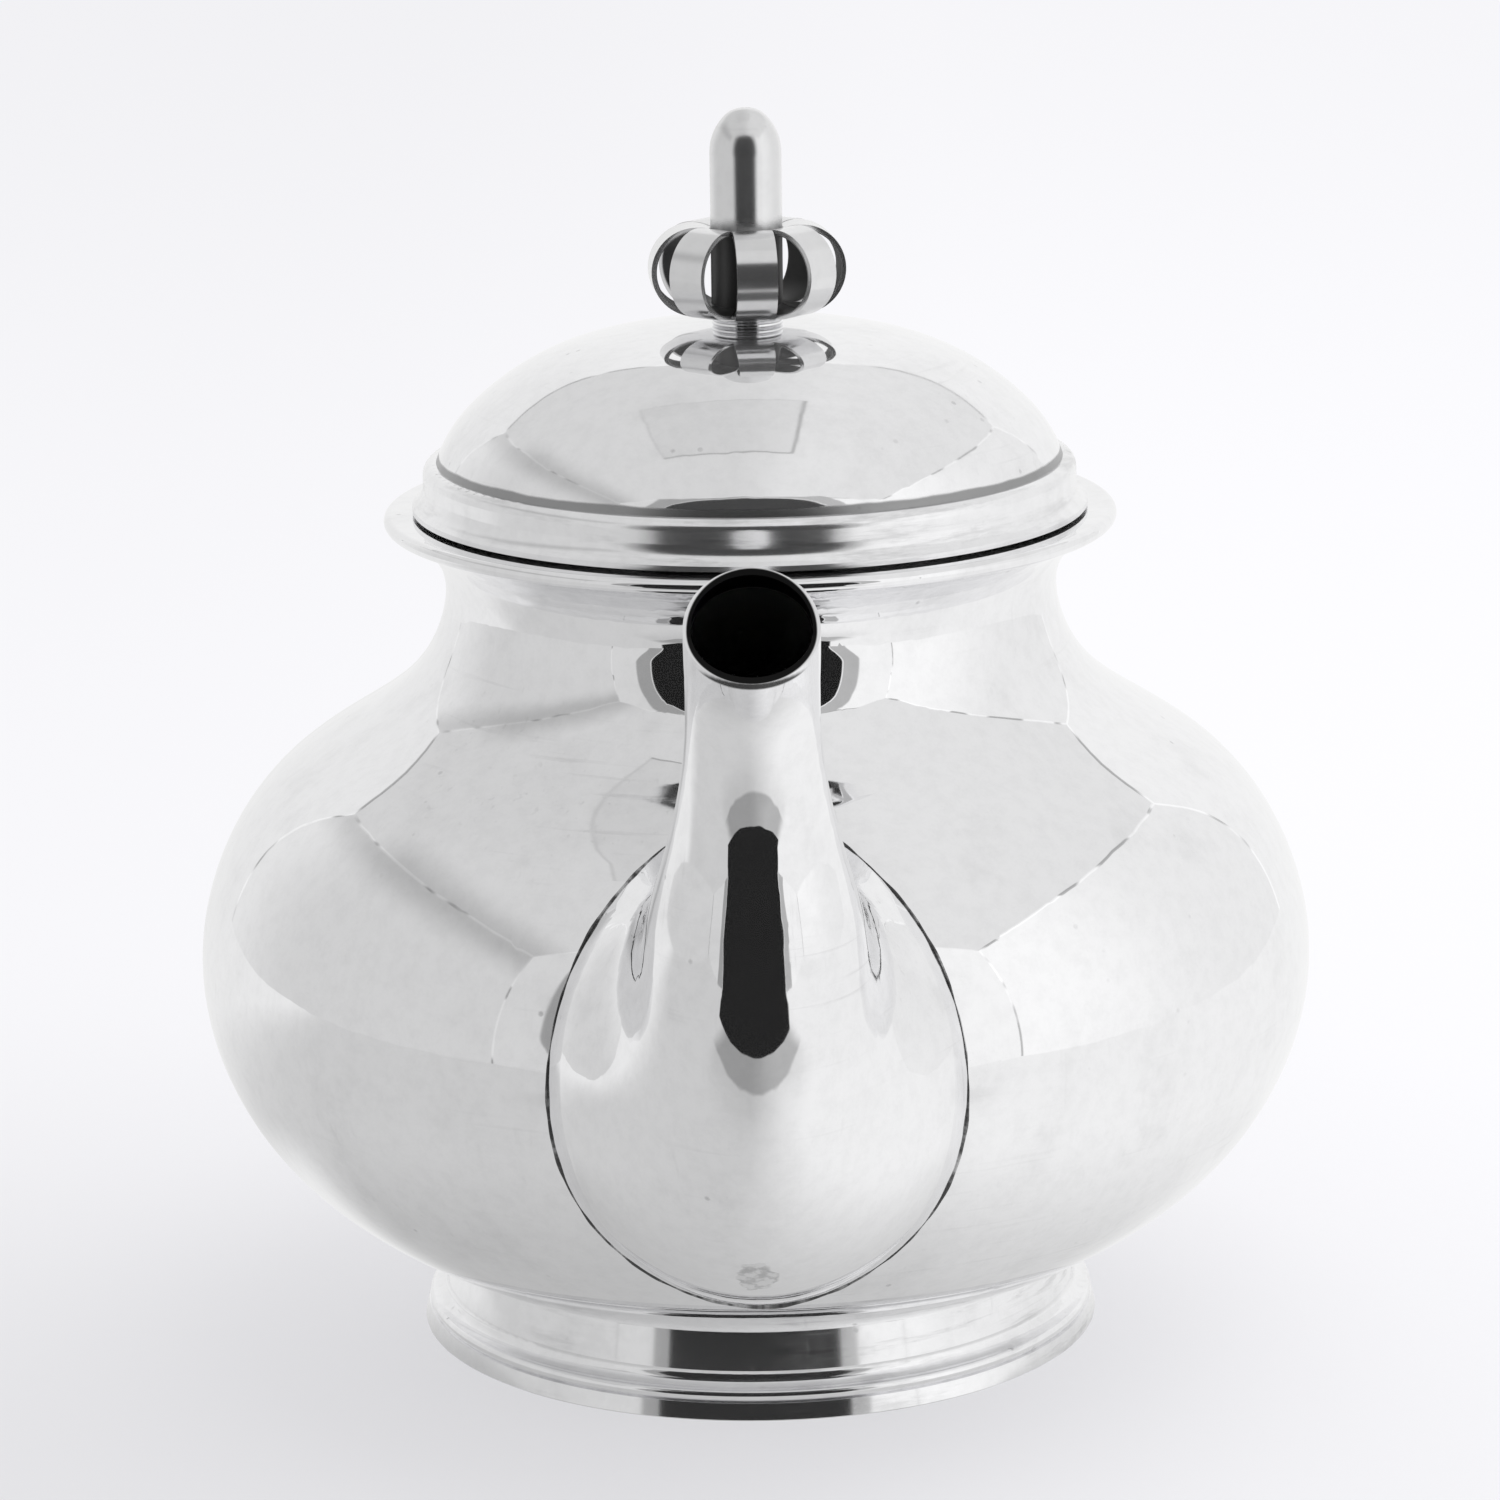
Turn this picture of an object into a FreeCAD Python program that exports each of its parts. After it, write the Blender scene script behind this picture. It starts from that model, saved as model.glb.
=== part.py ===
import FreeCAD, Part
import math
import os
from collections import namedtuple

# Round silver teapot with a bulging spout, a hinged domed lid with a strap finial,
# a turned foot and a dark wood handle held in two silver sockets.
# Millimetres. +Z is up, the origin is the middle of the foot's underside,
# the spout points along -Y and the handle along +Y.

# Bowl: heights are over the table, radii from the pot's axis
belly_radius = 75.0
belly_height = 51.0
body_wall = 1.0
bowl_bottom_height = 3.6
foot_seat_radius = 41.8
foot_seat_height = 10.6
haunch_radius = 66.6
haunch_height = 28.0
shoulder_radius = 62.9
shoulder_height = 78.0
throat_radius = 44.4
throat_height = 92.0
neck_radius = 41.0
neck_height = 100.0

# Mouth ring and the flare that carries it
mouth_height = 112.4
mouth_ring_thickness = 1.9
mouth_lip = 0.2
flare_step = 0.5
flare_rise = 0.42

# Lid
lid_overlap = 5.2
mouth_ledge = 3.85
lid_gap = 0.4
lid_edge_height = 0.7
moulding_height = 6.3
moulding_reach = 3.3
moulding_roll = 1.5
moulding_waist_height = 3.1
moulding_flare_reach = 1.5
moulding_flare_dip = 0.95
dome_height = 17.7
dome_shoulder_inset = 7.0
dome_shoulder_rise = 9.1
dome_edge_lean = 0.35
lid_wall = 0.9
bezel_clearance = 0.6
bezel_wall = 0.9
bezel_drop = 6.5
bezel_overlap = 4.5

# Hinge at the back of the mouth ring
knuckle_radius = 1.8
knuckle_gap = 0.3
knuckle_side_length = 6.0
knuckle_middle_length = 9.0
hinge_set_back = 0.35
hinge_lift = 0.3
hinge_pin_radius = 0.7
hinge_running_fit = 0.05
hinge_leaf_lift = 0.7
hinge_leaf_height = 2.6

# Finial
finial_radius = 4.75
finial_height = 27.1
finial_tip_height = 6.0
bead_height = 0.8
bead_count = 2
bead_groove = 0.55
strap_count = 8
strap_width = 5.3
strap_thickness = 0.7
strap_loop_radius = 5.9
strap_loop_centre = 7.0
strap_turn = 6.3
strap_slit = 1.0
stud_radius = 1.5
stud_tail = 1.2
washer_radius = 5.0
washer_thickness = 1.2
nut_across_flats = 6.0
nut_height = 2.4

# Foot
foot_radius = 46.2
plinth_height = 3.7
plinth_band_height = 2.2
plinth_band_lean = 0.55
plinth_bead_inset = 0.7
plinth_groove_inset = 1.1
plinth_width = 4.2
foot_wall = 1.2
foot_wall_foot_radius = 43.0
foot_cove_height = 2.0
foot_cove_inset = 1.4

# Spout: rings along it, each with its reach past the belly, its rise over the belly ring or,
# from the neck on, over the mouth, the lean of its plane, and its half depth and half width
Ring = namedtuple("Ring", "reach rise lean half_depth half_width")
spout_base = Ring(reach=-25.0, rise=-1.2, lean=90.0, half_depth=34.3, half_width=30.3)
spout_bulge = Ring(reach=-5.9, rise=3.7, lean=76.5, half_depth=28.2, half_width=26.4)
spout_breast = Ring(reach=3.7, rise=10.1, lean=61.3, half_depth=25.0, half_width=19.6)
spout_waist = Ring(reach=7.1, rise=18.6, lean=44.7, half_depth=23.0, half_width=15.2)
spout_stem = Ring(reach=11.2, rise=28.1, lean=33.7, half_depth=16.9, half_width=12.9)
spout_neck = Ring(reach=14.4, rise=-18.7, lean=31.9, half_depth=11.2, half_width=9.3)
spout_throat = Ring(reach=18.7, rise=-6.5, lean=38.9, half_depth=8.5, half_width=8.0)
spout_mouth = Ring(reach=32.4, rise=7.6, lean=46.9, half_depth=7.6, half_width=7.9)
spout_blank = Ring(reach=42.5, rise=18.5, lean=47.0, half_depth=7.6, half_width=7.8)
spout_wall = 0.9
spout_kink_reach = 32.0
spout_kink_rise = 6.2
mouth_upper_slope = 34.0
mouth_lower_slope = 50.0

# Strainer behind the spout
strainer_hole_radius = 1.5
strainer_pitch = 6.0
strainer_rings = 2
strainer_height = 47.0

# Handle
upper_socket_drop = 24.5
upper_socket_angle = 32.0
lower_socket_drop = 17.0
lower_socket_angle = 8.0
socket_length = 14.0
socket_sink = 14.0
socket_radius = 6.2
socket_flare = 2.6
socket_bore_depth = 9.0
tenon_radius = 4.2
finger_room = 26.0
grip_half_depth = 5.6
grip_half_width = 7.0
grip_drop = 31.0
grip_top_pull = 22.0
grip_back_pull = 24.0
grip_under_pull = 18.0
grip_low_pull = 14.0
handle_pin_radius = 1.1
handle_pin_stand = 0.25

Vector = FreeCAD.Vector
AXIS = Vector(0, 0, 1)
# How far a quarter round stands out at its middle, as a share of its radius
SLANT = math.sqrt(0.5)

# Sizes worked out from the ones above
ring_bottom = mouth_height - mouth_ring_thickness
ring_bore = neck_radius - body_wall - mouth_lip
lid_radius = ring_bore + lid_overlap
rim_radius = lid_radius + mouth_ledge
flare_radius = rim_radius - mouth_ring_thickness / 2 - flare_step
lid_bottom = mouth_height + lid_gap
crease_height = lid_bottom + moulding_height
crease_radius = lid_radius - moulding_reach
dome_top = crease_height + dome_height
bezel_radius = ring_bore - bezel_clearance
beads_top = dome_top + bead_count * bead_height
hub_top = beads_top + strap_thickness
hinge_back = lid_radius + knuckle_radius + hinge_set_back
hinge_height = mouth_height + knuckle_radius + hinge_lift
hinge_half_length = knuckle_middle_length / 2 + knuckle_gap + knuckle_side_length


def at(radius, height):
    """Point of a turned outline."""
    return Vector(radius, 0, height)


def curve(points, first, last):
    """Smooth curve through points, with the directions at its two ends."""
    spline = Part.BSplineCurve()
    spline.interpolate(Points=points, InitialTangent=first, FinalTangent=last)
    return spline


def inside_of(spline, distance, steps=24):
    """Curve that runs beside a turned outline at a distance, on the side of the axis."""
    start = spline.FirstParameter
    end = spline.LastParameter
    points = []
    for step in range(steps + 1):
        place = start + (end - start) * step / steps
        along = spline.tangent(place)[0]
        beside = spline.value(place) + Vector(-along.z, 0, along.x) * distance
        points.append(at(max(beside.x, 0), beside.z))
    return curve(points, spline.tangent(start)[0], spline.tangent(end)[0])


def line(start, end):
    return Part.makeLine(start, end)


def arc(start, middle, end):
    return Part.Arc(start, middle, end).toShape()


def turned(edges):
    """Solid turned about the pot's axis from a closed outline."""
    return Part.Face(Part.Wire(edges)).revolve(Vector(), AXIS, 360)


def filled(spline):
    """Solid turned from a curve that is closed against the axis."""
    start = spline.value(spline.FirstParameter)
    end = spline.value(spline.LastParameter)
    corners = [end, at(0, end.z), at(0, start.z), start]
    edges = [spline.toShape()]
    for near, far in zip(corners, corners[1:]):
        if near.distanceToPoint(far) > 1e-6:
            edges.append(line(near, far))
    return turned(edges)


def disc(radius, low, high, inner=0):
    """Round plate or ring on the pot's axis."""
    solid = Part.makeCylinder(radius, high - low, at(0, low))
    if inner:
        solid = solid.cut(Part.makeCylinder(inner, high - low, at(0, low)))
    return solid


def rod(start, end, radius):
    along = end - start
    return Part.makeCylinder(radius, along.Length, start, along)


def beyond(place, direction, size):
    """Block that fills the space past a plane."""
    block = Part.makeBox(size, size, size, Vector(-size / 2, -size / 2, 0))
    block.Placement = FreeCAD.Placement(place, FreeCAD.Rotation(AXIS, direction))
    return block


def rise(angle, toward=1):
    """Direction in the plane of spout and handle, at an angle over the horizontal."""
    return Vector(0, toward * math.cos(math.radians(angle)), math.sin(math.radians(angle)))


def oval(middle, across, half_depth, half_width, corners=16):
    """Closed smooth ring, half_depth along across and half_width along X."""
    points = []
    for corner in range(corners):
        turn = 2 * math.pi * corner / corners
        offset = across * (half_depth * math.cos(turn)) + Vector(half_width * math.sin(turn), 0, 0)
        points.append(middle + offset)
    ring = Part.BSplineCurve()
    ring.interpolate(Points=points, PeriodicFlag=True)
    return Part.Wire(ring.toShape())


bowl_outline = curve(
    [at(0, bowl_bottom_height), at(foot_seat_radius, foot_seat_height), at(haunch_radius, haunch_height),
     at(belly_radius, belly_height), at(shoulder_radius, shoulder_height),
     at(throat_radius, throat_height), at(neck_radius, neck_height), at(flare_radius, ring_bottom)],
    Vector(1, 0, 0), Vector(1, 0, flare_rise))
bowl_solid = filled(bowl_outline)


def bowl_radius(height):
    """Radius of the bowl's outside at a height."""
    low = bowl_outline.FirstParameter
    high = bowl_outline.LastParameter
    for halving in range(50):
        middle = (low + high) / 2
        if bowl_outline.value(middle).z < height:
            low = middle
        else:
            high = middle
    return bowl_outline.value(low).x


def strainer_holes():
    """Six-sided pattern of holes through the wall behind the spout."""
    holes = []
    for row in range(-strainer_rings, strainer_rings + 1):
        count = 2 * strainer_rings + 1 - abs(row)
        for place in range(count):
            side = (place - (count - 1) / 2) * strainer_pitch
            height = strainer_height + row * strainer_pitch * math.sin(math.radians(60))
            start = Vector(side, -belly_radius / 2, height)
            holes.append(rod(start, start - Vector(0, belly_radius, 0), strainer_hole_radius))
    return holes


def body_shell():
    """Bowl wall, pierced in the block behind the spout, which is then joined to the rest again."""
    wall = bowl_solid.cut(filled(inside_of(bowl_outline, body_wall)))
    behind_spout = beyond(Vector(0, -belly_radius / 2, strainer_height), Vector(0, -1, 0),
                          2 * spout_base.half_width)
    pierced = wall.common(behind_spout).cut(strainer_holes())
    return pierced.fuse(wall.cut(behind_spout)).removeSplitter()


def mouth_flange():
    half = mouth_ring_thickness / 2
    low_inner = at(ring_bore, ring_bottom)
    top_inner = at(ring_bore, mouth_height)
    low_outer = at(rim_radius - half, ring_bottom)
    top_outer = at(rim_radius - half, mouth_height)
    edge = arc(low_outer, at(rim_radius, ring_bottom + half), top_outer)
    return turned([line(low_inner, low_outer), edge, line(top_outer, top_inner), line(top_inner, low_inner)])


def foot_plinth():
    bead_radius = foot_radius - plinth_bead_inset
    groove_radius = foot_radius - plinth_groove_inset
    band_top = at(foot_radius - plinth_band_lean, plinth_band_height)
    groove = at(groove_radius, plinth_band_height)
    bead_top = at(groove_radius, plinth_height)
    bead_middle = at(bead_radius, (plinth_band_height + plinth_height) / 2)
    inner_low = at(foot_radius - plinth_width, 0)
    inner_top = at(foot_radius - plinth_width, plinth_height)
    outer_low = at(foot_radius, 0)
    return turned([line(outer_low, band_top), line(band_top, groove), arc(groove, bead_middle, bead_top),
                   line(bead_top, inner_top), line(inner_top, inner_low), line(inner_low, outer_low)])


def foot_collar():
    """Foot wall that runs up to the bowl and ends in a hollow curve over the plinth."""
    cove_radius = foot_radius - foot_cove_inset
    cove_top = plinth_height + foot_cove_height
    top = foot_seat_height + foot_wall
    outer_low = at(cove_radius, plinth_height)
    outer_middle = at(cove_radius - (cove_radius - foot_wall_foot_radius) * SLANT,
                      cove_top - foot_cove_height * SLANT)
    outer_cove = at(foot_wall_foot_radius, cove_top)
    outer_top = at(foot_seat_radius, top)
    inner_top = at(foot_seat_radius - foot_wall, top)
    inner_low = at(foot_wall_foot_radius - foot_wall, cove_top)
    inner_foot = at(foot_wall_foot_radius - foot_wall, plinth_height)
    collar = turned([line(outer_top, outer_cove), arc(outer_cove, outer_middle, outer_low),
                     line(outer_low, inner_foot), line(inner_foot, inner_low),
                     line(inner_low, inner_top), line(inner_top, outer_top)])
    return collar.cut(bowl_solid)


def spout_rings(shrink):
    """Closed rings along the spout, drawn in by shrink."""
    from_belly = [spout_base, spout_bulge, spout_breast, spout_waist, spout_stem]
    from_mouth = [spout_neck, spout_throat, spout_mouth, spout_blank]
    wires = []
    for start, rings in ((belly_height, from_belly), (mouth_height, from_mouth)):
        for ring in rings:
            middle = Vector(0, -belly_radius - ring.reach, start + ring.rise)
            wires.append(oval(middle, rise(ring.lean), ring.half_depth - shrink, ring.half_width - shrink))
    return wires


def spout():
    tube = Part.makeLoft(spout_rings(0), True, False)
    channel = Part.makeLoft(spout_rings(spout_wall), True, False)
    kink = Vector(0, -belly_radius - spout_kink_reach, mouth_height + spout_kink_rise)
    above_upper = beyond(kink, rise(mouth_upper_slope, -1), belly_radius)
    above_lower = beyond(kink, rise(mouth_lower_slope, -1), belly_radius)
    return tube.cut(bowl_solid).cut(above_upper.common(above_lower)).cut(channel)


def lid_moulding():
    """Ring round the lid's edge: rolled top, upright waist, hollow flare and a plain edge."""
    waist = lid_radius - moulding_flare_reach
    roll_start = at(waist - moulding_roll, crease_height)
    roll_end = at(waist, crease_height - moulding_roll)
    slant = moulding_roll * SLANT
    roll_middle = at(waist - moulding_roll + slant, crease_height - moulding_roll + slant)
    waist_low = at(waist, lid_bottom + moulding_waist_height)
    edge_top = at(lid_radius, lid_bottom + lid_edge_height)
    flare_middle = at(lid_radius - moulding_flare_reach * SLANT, edge_top.z + moulding_flare_dip)
    edge_low = at(lid_radius, lid_bottom)
    inner_low = at(bezel_radius, lid_bottom)
    inner_top = at(bezel_radius, crease_height)
    return turned([line(inner_low, edge_low), line(edge_low, edge_top),
                   arc(edge_top, flare_middle, waist_low),
                   line(waist_low, roll_end), arc(roll_end, roll_middle, roll_start),
                   line(roll_start, inner_top), line(inner_top, inner_low)])


dome_outline = curve([at(crease_radius, crease_height),
                      at(crease_radius - dome_shoulder_inset, crease_height + dome_shoulder_rise),
                      at(0, dome_top)], Vector(-dome_edge_lean, 0, 1), Vector(-1, 0, 0))
dome_solid = filled(dome_outline)
dome_hollow = filled(inside_of(dome_outline, lid_wall))


def lid_dome():
    stud_hole = disc(stud_radius, crease_height, beads_top)
    return dome_solid.cut(dome_hollow).cut(stud_hole)


def lid_bezel():
    return disc(bezel_radius, lid_bottom - bezel_drop, lid_bottom + bezel_overlap, bezel_radius - bezel_wall)


def finial_collar():
    """Beads, one on another, that sit on the dome."""
    edges = []
    low = dome_top - bead_height
    for bead in range(bead_count + 1):
        bottom = low + bead * bead_height
        start = at(finial_radius - bead_groove, bottom)
        end = at(finial_radius - bead_groove, bottom + bead_height)
        edges.append(arc(start, at(finial_radius, bottom + bead_height / 2), end))
    edges += [line(at(finial_radius - bead_groove, beads_top), at(stud_radius, beads_top)),
              line(at(stud_radius, beads_top), at(stud_radius, low)),
              line(at(stud_radius, low), at(finial_radius - bead_groove, low))]
    return turned(edges).cut(dome_solid)


def strap():
    """One looped strap, narrowed to its share of the turn so that its tip lies beside the next."""
    near = Vector(strap_loop_centre, -strap_width / 2, beads_top + strap_loop_radius)
    far = near + Vector(0, strap_width, 0)
    loop = rod(near, far, strap_loop_radius).cut(rod(near, far, strap_loop_radius - strap_thickness))
    reach = 2 * (strap_loop_centre + strap_loop_radius)
    half = math.radians(180 / strap_count - strap_slit)
    corner = Vector(reach * math.cos(half), reach * math.sin(half), 0)
    mirror = Vector(corner.x, -corner.y, 0)
    wedge = Part.Face(Part.makePolygon([Vector(), corner, mirror, Vector()]))
    return loop.common(wedge.extrude(AXIS * (beads_top + 2 * strap_loop_radius)))


def finial_calyx():
    """Star of straps on a hub, bent out and round until the tips rest on the post."""
    hub_radius = strap_loop_centre
    star = disc(hub_radius, beads_top, hub_top)
    for turn in range(strap_count):
        arm = strap()
        arm.rotate(Vector(), AXIS, -90 + strap_turn + turn * 360 / strap_count)
        star = star.fuse(arm)
    post = disc(finial_radius, hub_top, beads_top + finial_height)
    return star.cut(post).cut(disc(stud_radius, beads_top, hub_top)).removeSplitter()


nut_top = dome_top - lid_wall - washer_thickness
nut_bottom = nut_top - nut_height


def finial_post():
    """Bullet on a stud that runs down through the dome."""
    top = beads_top + finial_height
    shoulder = top - finial_tip_height
    rounding = at(finial_radius * SLANT, shoulder + finial_tip_height * SLANT)
    tip = curve([at(finial_radius, shoulder), rounding, at(0, top)], Vector(0, 0, 1), Vector(-1, 0, 0))
    corners = [at(0, top), at(0, nut_bottom - stud_tail), at(stud_radius, nut_bottom - stud_tail),
               at(stud_radius, hub_top), at(finial_radius, hub_top), at(finial_radius, shoulder)]
    sides = [line(near, far) for near, far in zip(corners, corners[1:])]
    return turned(sides + [tip.toShape()])


def finial_washer():
    return disc(washer_radius, nut_top, dome_top, stud_radius).common(dome_hollow)


def finial_nut():
    corner = nut_across_flats / 2 / math.cos(math.radians(30))
    outline = []
    for side in range(7):
        turn = math.radians(60 * side)
        outline.append(Vector(corner * math.cos(turn), corner * math.sin(turn), nut_bottom))
    blank = Part.Face(Part.makePolygon(outline)).extrude(AXIS * nut_height)
    return blank.cut(disc(stud_radius, nut_bottom, nut_top))


def hinge_barrel(start, length, bore):
    """Length of hinge tube along X, and the cylinder that bores it."""
    place = Vector(start, hinge_back, hinge_height)
    along = Vector(length, 0, 0)
    return rod(place, place + along, knuckle_radius), rod(place, place + along, bore)


def hinge_body_knuckles():
    """Two knuckles on pads that stand on the mouth ring."""
    knuckles = []
    for start in (-hinge_half_length, hinge_half_length - knuckle_side_length):
        barrel, bore = hinge_barrel(start, knuckle_side_length, hinge_pin_radius)
        corner = Vector(start, hinge_back - knuckle_radius, mouth_height)
        pad = Part.makeBox(knuckle_side_length, 2 * knuckle_radius, hinge_height - mouth_height, corner)
        on_ring = pad.common(disc(rim_radius, mouth_height, hinge_height))
        knuckles.append(barrel.fuse(on_ring).cut(bore))
    return Part.makeCompound(knuckles)


def hinge_lid_knuckle():
    """Middle knuckle with a leaf that runs forward to the lid's moulding."""
    barrel, bore = hinge_barrel(-knuckle_middle_length / 2, knuckle_middle_length,
                                hinge_pin_radius + hinge_running_fit)
    corner = Vector(-knuckle_middle_length / 2, bezel_radius, lid_bottom + hinge_leaf_lift)
    leaf = Part.makeBox(knuckle_middle_length, hinge_back - bezel_radius, hinge_leaf_height, corner)
    inside_lid = disc(bezel_radius, lid_bottom, crease_height)
    return barrel.fuse(leaf.cut(lid_moulding()).cut(inside_lid)).cut(bore)


def hinge_pin():
    end = Vector(hinge_half_length, hinge_back, hinge_height)
    return rod(Vector(-end.x, end.y, end.z), end, hinge_pin_radius)


def socket_seat(height, angle):
    """Outer end of a handle socket at a height of the bowl, and the way it points."""
    out = rise(angle)
    return Vector(0, bowl_radius(height), height) + out * socket_length, out


upper_end, upper_out = socket_seat(mouth_height - upper_socket_drop, upper_socket_angle)
lower_end, lower_out = socket_seat(belly_height - lower_socket_drop, lower_socket_angle)


def handle_pin(end, out):
    """Cross pin through socket and tenon."""
    middle = end - out * (socket_bore_depth / 2)
    spread = socket_flare * socket_bore_depth / 2 / (socket_length + socket_sink)
    half = Vector(socket_radius + spread + handle_pin_stand, 0, 0)
    return rod(middle - half, middle + half, handle_pin_radius)


def tenon(end, out):
    return rod(end - out * socket_bore_depth, end, tenon_radius)


def handle_socket(end, out):
    """Tapered socket that is cut to the bowl and bored for the grip's tenon."""
    length = socket_length + socket_sink
    cone = Part.makeCone(socket_radius + socket_flare, socket_radius, length, end - out * length, out)
    return cone.cut(bowl_solid).cut(tenon(end, out)).cut(handle_pin(end, out))


def bend(ends, share):
    """Place and direction at a share of a cubic curve with four control points."""
    first, second, third, fourth = ends
    rest = 1 - share
    start = first * rest ** 2 + second * (2 * rest * share) + third * share ** 2
    end = second * rest ** 2 + third * (2 * rest * share) + fourth * share ** 2
    return start * rest + end * share, (end - start).normalize()


def handle_grip():
    """Wooden grip that swells from the sockets to its back, with a round tenon at each end."""
    back = Vector(0, belly_radius + finger_room + grip_half_depth, upper_end.z - grip_drop)
    upper_bend = (upper_end, upper_end + upper_out * grip_top_pull, back + AXIS * grip_back_pull, back)
    lower_bend = (back, back - AXIS * grip_under_pull, lower_end + lower_out * grip_low_pull, lower_end)
    steps = 5
    rings = []
    for ends, first in ((upper_bend, 0), (lower_bend, 1)):
        for step in range(first, steps + 1):
            place, along = bend(ends, step / steps)
            swell = step / steps if first == 0 else 1 - step / steps
            half_depth = socket_radius + (grip_half_depth - socket_radius) * swell
            half_width = socket_radius + (grip_half_width - socket_radius) * swell
            rings.append(oval(place, Vector(0, -along.z, along.y), half_depth, half_width))
    grip = Part.makeLoft(rings, True, False)
    for end, out in ((upper_end, upper_out), (lower_end, lower_out)):
        grip = grip.fuse(tenon(end, out)).cut(handle_pin(end, out))
    return grip


nodes = {
    "body_shell": body_shell(),
    "mouth_flange": mouth_flange(),
    "foot_collar": foot_collar(),
    "foot_plinth": foot_plinth(),
    "spout": spout(),
    "lid_dome": lid_dome(),
    "lid_moulding": lid_moulding(),
    "lid_bezel": lid_bezel(),
    "finial_collar": finial_collar(),
    "finial_calyx": finial_calyx(),
    "finial_post": finial_post(),
    "finial_washer": finial_washer(),
    "finial_nut": finial_nut(),
    "hinge_body_knuckles": hinge_body_knuckles(),
    "hinge_lid_knuckle": hinge_lid_knuckle(),
    "hinge_pin": hinge_pin(),
    "handle_grip": handle_grip(),
    "upper_handle_socket": handle_socket(upper_end, upper_out),
    "lower_handle_socket": handle_socket(lower_end, lower_out),
    "upper_handle_pin": handle_pin(upper_end, upper_out),
    "lower_handle_pin": handle_pin(lower_end, lower_out),
}

os.makedirs("parts", exist_ok=True)
for name, shape in nodes.items():
    print(name, "solids", len(shape.Solids), "valid", shape.isValid(), "volume", round(shape.Volume, 1))
    shape.exportStep("parts/" + name + ".step")
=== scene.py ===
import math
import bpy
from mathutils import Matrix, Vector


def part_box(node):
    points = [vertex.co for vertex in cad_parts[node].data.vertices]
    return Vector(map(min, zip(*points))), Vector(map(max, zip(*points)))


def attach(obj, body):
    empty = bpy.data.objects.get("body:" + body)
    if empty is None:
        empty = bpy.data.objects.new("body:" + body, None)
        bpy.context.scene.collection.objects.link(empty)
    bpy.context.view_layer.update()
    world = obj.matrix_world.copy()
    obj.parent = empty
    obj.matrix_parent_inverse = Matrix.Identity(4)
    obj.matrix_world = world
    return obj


bl_info = {
    "name": "Silver teapot",
    "version": (1, 0, 0),
    "blender": (4, 5, 0),
    "location": "3D View > Sidebar > Teapot",
    "description": "Dresses a round silver teapot with its finishes, stage and camera",
    "category": "Object",
}

import bpy
from mathutils import Matrix, Vector

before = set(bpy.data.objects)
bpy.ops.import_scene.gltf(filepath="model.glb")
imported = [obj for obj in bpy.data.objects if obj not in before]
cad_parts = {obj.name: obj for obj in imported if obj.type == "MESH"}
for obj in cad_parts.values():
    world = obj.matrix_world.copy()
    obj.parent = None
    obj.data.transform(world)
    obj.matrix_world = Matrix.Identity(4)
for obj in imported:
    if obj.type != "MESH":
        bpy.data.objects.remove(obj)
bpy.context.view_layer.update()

# Parts of a vector
X, Y, Z = 0, 1, 2


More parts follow.
